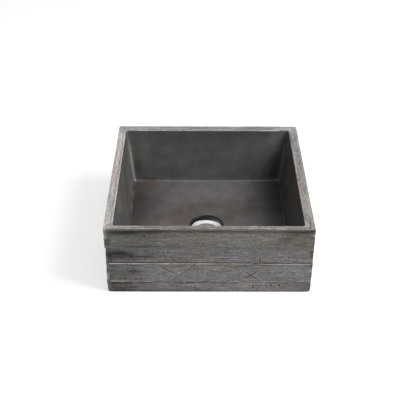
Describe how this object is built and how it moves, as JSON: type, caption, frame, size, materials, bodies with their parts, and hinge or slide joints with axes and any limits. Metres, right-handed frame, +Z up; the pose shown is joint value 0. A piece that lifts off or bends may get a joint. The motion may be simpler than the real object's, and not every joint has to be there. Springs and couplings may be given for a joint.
{
  "type": "countertop washbasin",
  "caption": "Square countertop washbasin cast in dark concrete with rough board marks outside, a drafted bowl and a push-open waste in its floor.",
  "frame": {"origin": "centre of the casting's flat underside, where it sits on the worktop", "axes": "+Z up, +X to the right and +Y to the back, with the front face of the picture towards -Y"},
  "size_m": [0.4, 0.4, 0.202],
  "materials": {
    "cast_concrete": "matt, board-marked outside and smooth inside",
    "polished_chrome": "polished",
    "black_rubber": "matt",
    "washer_plastic": "moulded",
    "turned_brass": "turned",
    "white_acetal": "moulded",
    "spring_steel": "drawn wire"
  },
  "bodies": {
    "basin": {"basin_body": "cast_concrete", "waste_body": "polished_chrome", "flange_seal": "black_rubber", "lower_seal": "black_rubber", "slip_washer": "washer_plastic", "backnut": "turned_brass", "cartridge_housing": "white_acetal", "cartridge_cap": "white_acetal", "spring": "spring_steel"},
    "plug": {"plug_cap": "polished_chrome", "plug_seal": "black_rubber", "plunger": "turned_brass"}
  },
  "joints": [
    {"name": "plug_lift", "type": "slide", "parent": "basin", "child": "plug", "axis": [0, 0, 1], "range_m": [0, 0.008], "deforming": ["spring"]}
  ]
}
